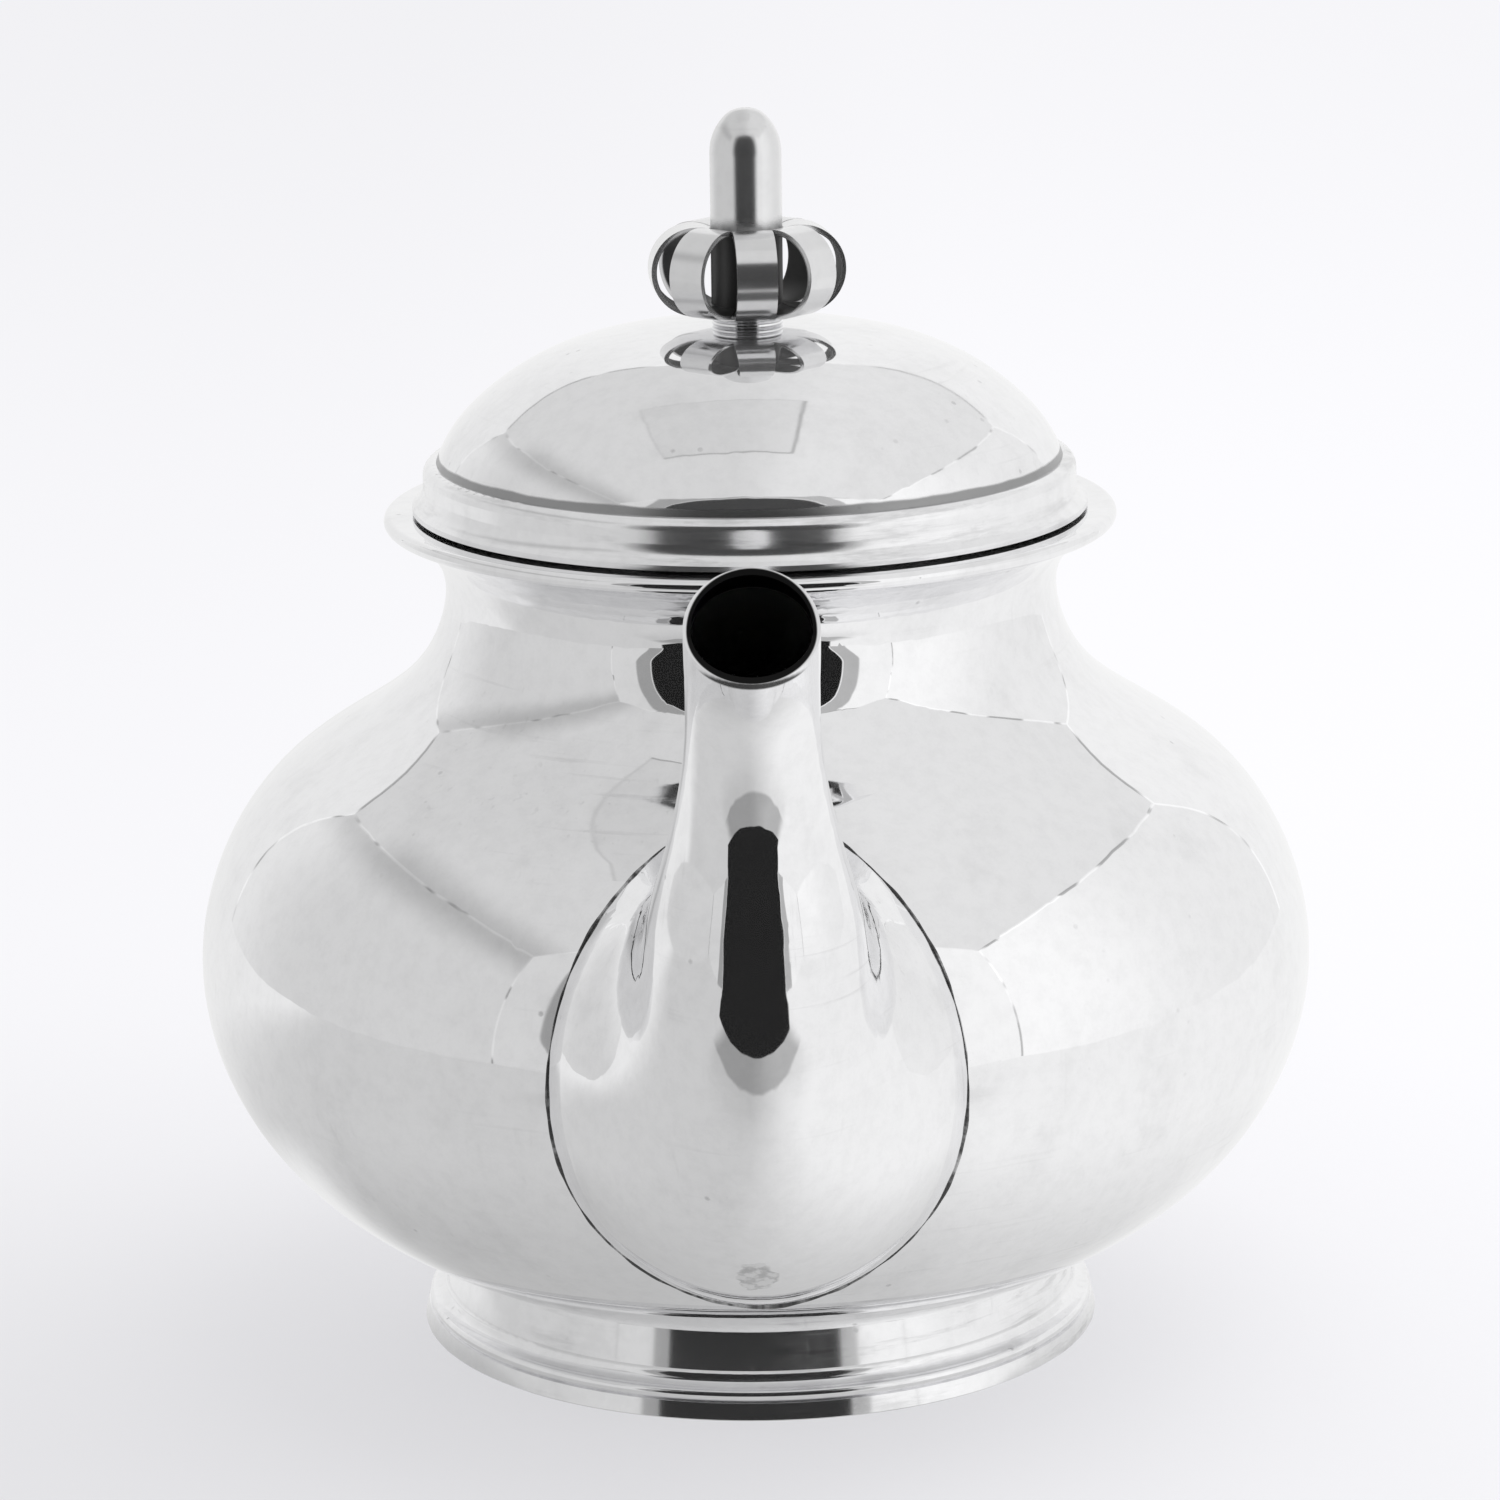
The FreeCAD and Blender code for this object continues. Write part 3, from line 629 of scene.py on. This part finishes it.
def solder_line(loop, radius, count=360, sides=8):
    """Uneven bead of solder along a loop."""
    points = even_loop(loop, count)
    vertices = []
    faces = []
    for number, point in enumerate(points):
        along = (points[(number + 1) % count] - points[number - 1]).normalized()
        out = Vector((point.x, point.y, 0)).normalized()
        across = along.cross(out).normalized()
        turn = 2 * math.pi * number / count
        swell = MEAN_SWELL + sum(height * math.sin(waves * turn + start) for height, waves, start in SWELLS)
        for side in range(sides):
            angle = 2 * math.pi * side / sides
            vertices.append(point + (out * math.sin(angle) + across * math.cos(angle)) * radius * swell)
            first = number * sides
            second = (number + 1) % count * sides
            beyond = (side + 1) % sides
            faces.append((first + side, second + side, second + beyond, first + beyond))
    mesh = bpy.data.meshes.new("spout_solder")
    mesh.from_pydata(vertices, [], faces)
    for face in mesh.polygons:
        face.use_smooth = True
    line = bpy.data.objects.new("spout_solder", mesh)
    bpy.context.scene.collection.objects.link(line)
    return line


class TEAPOT_OT_spout(bpy.types.Operator):
    """Bulging spout with the solder line round its base"""
    bl_idname = "teapot.spout"
    bl_label = "Spout"

    def execute(self, context):
        dress("spout", "spout silver")
        line = solder_line(seam_loop(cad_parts["spout"].data), context.scene.teapot_silver.solder_radius)
        line.data.materials.append(finish("solder"))
        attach(line, "pot")
        return {"FINISHED"}


class TEAPOT_OT_lid(bpy.types.Operator):
    """Domed lid, its moulding and the ring below it"""
    bl_idname = "teapot.lid"
    bl_label = "Lid"

    def execute(self, context):
        dress("lid_dome", "dome silver")
        dress("lid_moulding", "moulding silver")
        dress("lid_bezel", "turned silver")
        return {"FINISHED"}


class TEAPOT_OT_finial(bpy.types.Operator):
    """Finial with its beads, straps, post, washer and nut"""
    bl_idname = "teapot.finial"
    bl_label = "Finial"

    def execute(self, context):
        dress("finial_calyx", "strap silver")
        dress("finial_post", "post silver")
        dress("finial_collar", "turned silver")
        for node in ("finial_washer", "finial_nut"):
            dress(node, "plain silver")
        return {"FINISHED"}


class TEAPOT_OT_hinge(bpy.types.Operator):
    """Hinge at the back of the mouth"""
    bl_idname = "teapot.hinge"
    bl_label = "Hinge"

    def execute(self, context):
        for node in ("hinge_body_knuckles", "hinge_lid_knuckle", "hinge_pin"):
            dress(node, "plain silver")
        return {"FINISHED"}


class TEAPOT_OT_handle(bpy.types.Operator):
    """Wooden grip with its sockets and cross pins"""
    bl_idname = "teapot.handle"
    bl_label = "Handle"

    def execute(self, context):
        dress("handle_grip", "dark wood")
        for node in ("upper_handle_socket", "lower_handle_socket", "upper_handle_pin", "lower_handle_pin"):
            dress(node, "plain silver")
        return {"FINISHED"}


def plane(name, corners, material):
    """Flat stage piece with four corners."""
    mesh = bpy.data.meshes.new(name)
    mesh.from_pydata(corners, [], [(0, 1, 2, 3)])
    made = bpy.data.objects.new(name, mesh)
    bpy.context.scene.collection.objects.link(made)
    mesh.materials.append(material)
    return made


def only_mirrored(piece):
    """Lets only reflections see a stage piece."""
    piece.visible_camera = False
    piece.visible_diffuse = False
    piece.visible_shadow = False
    piece.visible_transmission = False
    piece.visible_volume_scatter = False


# Brightness of the dark studio outside the tent
DARK = 0.012

# Width of the line along the tent's seams
SEAM = 0.005


def seam(place, settings, *axes):
    """Factor that draws a bright line along a tent wall's edges, dark in some stretches."""
    bright, dark = 0.14, 0.62
    limits = {
        X: (-settings.tent_half_width, settings.tent_half_width),
        Y: (-settings.tent_front, settings.tent_back),
        Z: (-settings.tent_height, settings.tent_height),
    }
    clear = 1.0
    for axis in axes:
        near, far = limits[axis]
        clear = clear * place.part(axis).between(near + SEAM, far - SEAM, SEAM)
    stretch = place.noise(scale=4.0).fade(low=0.48, high=0.56)
    return (1.0 - clear) * (bright - stretch * dark) + 1.0


def left_level(place, settings):
    """Brightness of the tent's left wall: brighter behind, darker under the roof."""
    brighter, darker = 0.16, 0.20
    behind = place.part(Y).fade(low=0.10, high=0.60)
    under_roof = place.part(Z).fade(low=0.40, high=0.58)
    level = behind * brighter + settings.wall_left - under_roof * darker
    return level * seam(place, settings, Y, Z)


def right_level(place, settings):
    """Brightness of the tent's right wall: brighter in front."""
    brighter = 0.14
    in_front = 1.0 - place.part(Y).fade(low=-0.35, high=0.20)
    return (in_front * brighter + settings.wall_right) * seam(place, settings, Y, Z)


def back_level(place, settings):
    """Brightness of the tent's back wall: brighter at the right."""
    brighter = 0.09
    right = place.part(X).fade(low=-0.40, high=0.10)
    return (right * brighter + settings.wall_back) * seam(place, settings, X, Z)


def roof_level(place, settings):
    """Brightness of the tent's roof: dim at its left edge, with a framed panel over the pot."""
    edge_dim, panel_dim, frame_dim, ink_dim = 0.20, 0.06, 0.12, 0.30
    left, right, near, far = -0.19, 0.095, -0.10, 0.18
    line = 0.005
    ink_start, ink_end = 1.5 * line, 2.5 * line
    across = place.part(X)
    along = place.part(Y)
    right_half = across.fade(low=-0.05, high=0.15)
    level = right_half * (settings.roof_right - settings.roof_left) + settings.roof_left
    left_edge = (1.0 - across.fade(low=-0.62, high=-0.42)) * (1.0 - along.fade(low=0.15, high=0.40))
    panel = across.between(left, right, line) * along.between(near, far, line)
    inner = across.between(left + line, right - line, line) * along.between(near + line, far - line, line)
    right_line = across.fade(right - ink_end, right - ink_start)
    near_line = 1.0 - along.fade(near + ink_start, near + ink_end)
    ink = panel * (right_line + near_line).maths("MINIMUM", 1.0)
    marks = 1.0 - panel * panel_dim - (panel - inner) * frame_dim - ink * ink_dim
    return (level - left_edge * edge_dim) * marks * seam(place, settings, X, Y)


def front_level(place, settings):
    """Brightness of the tent's front: two leaves beside a dark arched opening with a grey hem."""
    narrow, widening, squareness, hem_dim = 0.95, 0.18, 4.0, 0.5
    across = place.part(X)
    height = place.part(Z)
    right = across.fade(low=-0.10, high=0.10)
    leaf = right * (settings.front_right - settings.front_left) + settings.front_left
    half_width = (height.fade(low=0.0, high=0.16) * widening + narrow) * settings.opening_half_width
    aside = (across - settings.opening_middle).maths("ABSOLUTE") / half_width
    above = (height - settings.opening_spring).maths("MAXIMUM", 0.0) / settings.opening_rise
    arch = aside.maths("POWER", squareness) + above.maths("POWER", squareness)
    outside = arch.fade(low=0.94, high=1.0)
    hem = arch.fade(low=1.0, high=1.06) * (1.0 - arch.fade(low=2.2, high=2.5))
    return leaf * outside * (1.0 - hem * hem_dim) + (1.0 - outside) * DARK


def cloth_level(place, settings):
    """Brightness of the cloth under the pot: painted shade at the left and the pot's painted shadow near the
    foot, with a grey hem and the dark opening beyond its front end."""
    across = place.part(X)
    along = place.part(Y)
    reach = (across * across + along * along).maths("SQRT")

    # Painted shade: grey at the left, whiter at the right and behind
    right = across.fade(low=-0.03, high=0.08)
    behind = along.fade(low=-0.01, high=0.13) * (1.0 - right)
    level = (right * (settings.cloth_right - settings.cloth_left)
             + behind * (settings.cloth_behind - settings.cloth_left) + settings.cloth_left)

    # Painted shadow of the pot near the foot, but white at its sides
    near_foot = 0.80
    level = level * (reach.fade(low=0.04, high=0.12) * (1.0 - near_foot) + near_foot)
    beside_share, beside_level = 0.8, 0.93
    beside = along.fade(low=-0.025, high=0.015) * (1.0 - reach.fade(low=0.075, high=0.11))
    level = level + beside * beside_share * (beside_level - level)

    # Grey hem in the middle, bowed like the front end
    bow = 1.1
    bowed = along + across * across * bow
    hem_level, hem_step, hem_slope = 0.52, 0.33, 0.15
    hem = (bowed.fade(low=-0.216, high=-0.206) * hem_step + bowed.fade(low=-0.21, high=-0.12) * hem_slope
           + hem_level)
    level = level * (hem + (1.0 - hem) * across.maths("ABSOLUTE").fade(low=0.14, high=0.20))

    # Dark studio seen through the opening, beyond the front end
    least, edge = 0.001, 0.004
    share = (along / -settings.tent_front).maths("MAXIMUM", 0.0)
    aside = (across - share * settings.opening_middle).maths("ABSOLUTE")
    beyond = (aside / (share * settings.opening_half_width + least)).fade(low=0.94, high=0.97)
    near = bowed.fade(-settings.cloth_end - edge, -settings.cloth_end)
    lit = near + beyond * (1.0 - near)
    return level * lit + (1.0 - lit) * DARK


class TEAPOT_OT_stage(bpy.types.Operator):
    """Floor, light, white tent to be mirrored, and camera"""
    bl_idname = "teapot.stage"
    bl_label = "Stage"

    def execute(self, context):
        settings = context.scene.teapot_stage
        self.floor(settings)
        self.tent(settings)
        self.light(context, settings)
        self.camera(context, settings)
        context.scene.view_settings.view_transform = "Standard"
        return {"FINISHED"}

    def floor(self, settings):
        """Pale floor that keeps the pot's shadow and glows a little, so that it stays even."""
        roughness = 0.9
        material, shader, wire = new_material("pale floor")
        tree = material.node_tree
        place = place_in_object(wire)
        # Painted shade: the floor's colour is darker at the left and in front of the pot
        right = place.part(X).fade(low=-0.15, high=0.15)
        behind = place.part(Y).fade(low=-0.10, high=0.18)
        near = right * (settings.floor_near_right - settings.floor_near_left) + settings.floor_near_left
        far = right * (settings.floor_far_right - settings.floor_far_left) + settings.floor_far_left
        tone = (near + behind * (far - near)).tint((0, 0, 0, 1), colour(settings.floor))
        plug(shader, "Base Color", tone)
        shader.inputs["Roughness"].default_value = roughness
        shader.inputs["Specular IOR Level"].default_value = 0.0
        lit = Wire(tree, shader.outputs[0])
        glowing = wire.node("ShaderNodeEmission", None, {"Color": tone})
        mixed = wire.node("ShaderNodeMixShader", None, {0: settings.floor_glow, 1: lit, 2: glowing})
        tree.links.new(mixed.socket, tree.get_output_node("ALL").inputs["Surface"])
        reach = settings.floor_reach
        corners = [(-reach, -reach, 0), (reach, -reach, 0), (reach, reach, 0), (-reach, reach, 0)]
        plane("floor", corners, material)

    def tent(self, settings):
        """White walls, roof and cloth that only the metal sees, with a dark arched opening in the front."""
        over_floor = 0.0001
        left, right = -settings.tent_half_width, settings.tent_half_width
        front, back = -settings.tent_front, settings.tent_back
        low, high = over_floor, settings.tent_height
        cards = (
            ("tent left", left_level,
             [(left, front, low), (left, back, low), (left, back, high), (left, front, high)]),
            ("tent right", right_level,
             [(right, front, low), (right, back, low), (right, back, high), (right, front, high)]),
            ("tent back", back_level,
             [(left, back, low), (right, back, low), (right, back, high), (left, back, high)]),
            ("tent roof", roof_level,
             [(left, front, high), (right, front, high), (right, back, high), (left, back, high)]),
            ("tent front", front_level,
             [(left, front, low), (right, front, low), (right, front, high), (left, front, high)]),
            ("mirrored cloth", cloth_level,
             [(left, front, low), (right, front, low), (right, back, low), (left, back, low)]),
        )
        for name, level, corners in cards:
            material, shader, wire = new_material(name, "ShaderNodeEmission")
            plug(shader, "Color", level(place_in_object(wire), settings))
            only_mirrored(plane(name, corners, material))

    def light(self, context, settings):
        """Even light all round, and a soft lamp overhead."""
        world = bpy.data.worlds.new("studio")
        context.scene.world = world
        world.use_nodes = True
        sky = world.node_tree.nodes["Background"]
        sky.inputs["Color"].default_value = (1, 1, 1, 1)
        sky.inputs["Strength"].default_value = settings.sky
        data = bpy.data.lights.new("overhead", "AREA")
        data.shape = "RECTANGLE"
        data.size = settings.lamp_size
        data.size_y = settings.lamp_size
        data.energy = settings.lamp
        lamp = bpy.data.objects.new("overhead", data)
        lamp.location = settings.lamp_place
        lamp.rotation_euler = (-lamp.location).to_track_quat("-Z", "Y").to_euler()
        context.scene.collection.objects.link(lamp)
        lamp.visible_glossy = False
        lamp.visible_camera = False

    def camera(self, context, settings):
        """Camera at the place from which the pot is seen spout first."""
        sensor_width = 36.0
        nearest = 0.01
        data = bpy.data.cameras.new("camera")
        data.sensor_width = sensor_width
        data.lens = settings.lens
        data.clip_start = nearest
        made = bpy.data.objects.new("camera", data)
        turn = Matrix.Rotation(settings.camera_yaw, 4, "Z")
        tilt = Matrix.Rotation(math.pi / 2 - settings.camera_pitch, 4, "X")
        roll = Matrix.Rotation(settings.camera_roll, 4, "Z")
        made.matrix_world = Matrix.Translation(settings.camera_place) @ turn @ tilt @ roll
        context.scene.collection.objects.link(made)
        context.scene.camera = made


STEPS = ("bowl", "foot", "spout", "lid", "finial", "hinge", "handle", "stage")


class TEAPOT_PT_panel(bpy.types.Panel):
    """Sizes, colours and steps of the teapot"""
    bl_idname = "TEAPOT_PT_panel"
    bl_label = "Teapot"
    bl_space_type = "VIEW_3D"
    bl_region_type = "UI"
    bl_category = "Teapot"

    def draw(self, context):
        scene = context.scene
        for settings in (scene.teapot_silver, scene.teapot_wood, scene.teapot_stage):
            box = self.layout.box()
            for name in settings.__annotations__:
                box.prop(settings, name)
        for step in STEPS:
            self.layout.operator("teapot." + step)


CLASSES = (
    SilverSettings, WoodSettings, StageSettings,
    TEAPOT_OT_bowl, TEAPOT_OT_foot, TEAPOT_OT_spout, TEAPOT_OT_lid, TEAPOT_OT_finial,
    TEAPOT_OT_hinge, TEAPOT_OT_handle, TEAPOT_OT_stage, TEAPOT_PT_panel,
)


def register():
    for kind in CLASSES:
        bpy.utils.register_class(kind)
    bpy.types.Scene.teapot_silver = bpy.props.PointerProperty(type=SilverSettings)
    bpy.types.Scene.teapot_wood = bpy.props.PointerProperty(type=WoodSettings)
    bpy.types.Scene.teapot_stage = bpy.props.PointerProperty(type=StageSettings)


def unregister():
    del bpy.types.Scene.teapot_stage
    del bpy.types.Scene.teapot_wood
    del bpy.types.Scene.teapot_silver
    for kind in reversed(CLASSES):
        bpy.utils.unregister_class(kind)


def main():
    register()
    for step in STEPS:
        getattr(bpy.ops.teapot, step)()


if __name__ == "__main__":
    main()
